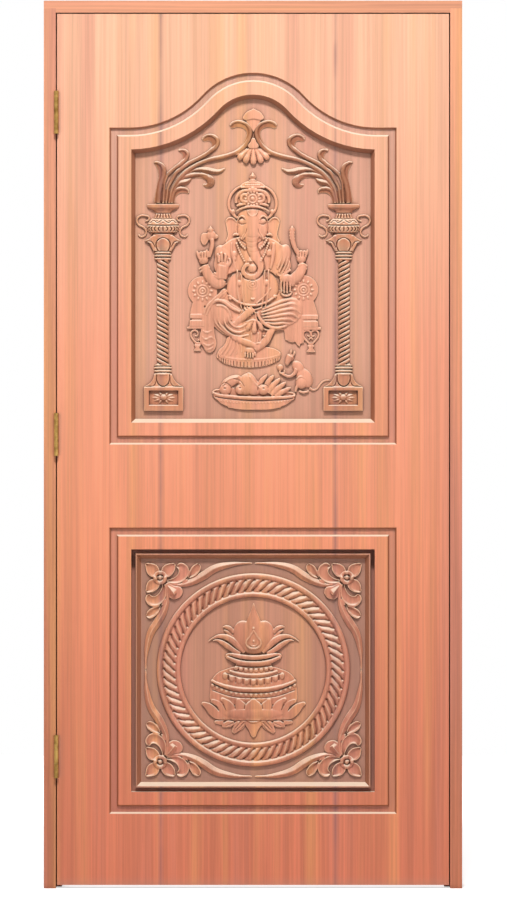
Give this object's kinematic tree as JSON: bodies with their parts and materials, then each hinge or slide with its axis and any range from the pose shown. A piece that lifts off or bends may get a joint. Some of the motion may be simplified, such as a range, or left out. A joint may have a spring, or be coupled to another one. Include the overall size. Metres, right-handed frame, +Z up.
{
  "type": "carved wooden door",
  "caption": "Carved solid wood door leaf with an arched upper panel and a square lower panel, hung on butt hinges in a slim lining frame.",
  "frame": {"origin": "middle of the doorway at floor level, midway in the overall depth", "axes": "+X to the right as seen from the carved front, +Y from the front towards the back, +Z up"},
  "size_m": [0.976, 0.1264, 2.071],
  "materials": {
    "leaf_wood": "oiled warm orange-brown hardwood with vertical grain",
    "carved_wood": "carved, darker in the hollows",
    "hidden_wood": "plain, unfinished",
    "frame_wood": "oiled hardwood to match the leaf",
    "hinge_brass": "satin"
  },
  "bodies": {
    "frame": {"hinge_jamb": "frame_wood", "closing_jamb": "frame_wood", "head_jamb": "frame_wood", "hinge_stop": "frame_wood", "closing_stop": "frame_wood", "head_stop": "frame_wood", "top_hinge_jamb_plate": "hinge_brass", "top_hinge_pin": "hinge_brass", "middle_hinge_jamb_plate": "hinge_brass", "middle_hinge_pin": "hinge_brass", "bottom_hinge_jamb_plate": "hinge_brass", "bottom_hinge_pin": "hinge_brass"},
    "leaf": {"left_board": "leaf_wood", "centre_board": "leaf_wood", "right_board": "leaf_wood", "left_loose_tongue": "hidden_wood", "right_loose_tongue": "hidden_wood", "upper_carved_panel": "carved_wood", "lower_carved_panel": "carved_wood", "top_hinge_leaf_plate": "hinge_brass", "middle_hinge_leaf_plate": "hinge_brass", "bottom_hinge_leaf_plate": "hinge_brass"}
  },
  "joints": [
    {"name": "leaf_swing", "type": "hinge", "parent": "frame", "child": "leaf", "pos_m": [-0.4585, -0.05775, 1], "axis": [0, 0, -1], "range_deg": [0, 170]}
  ]
}
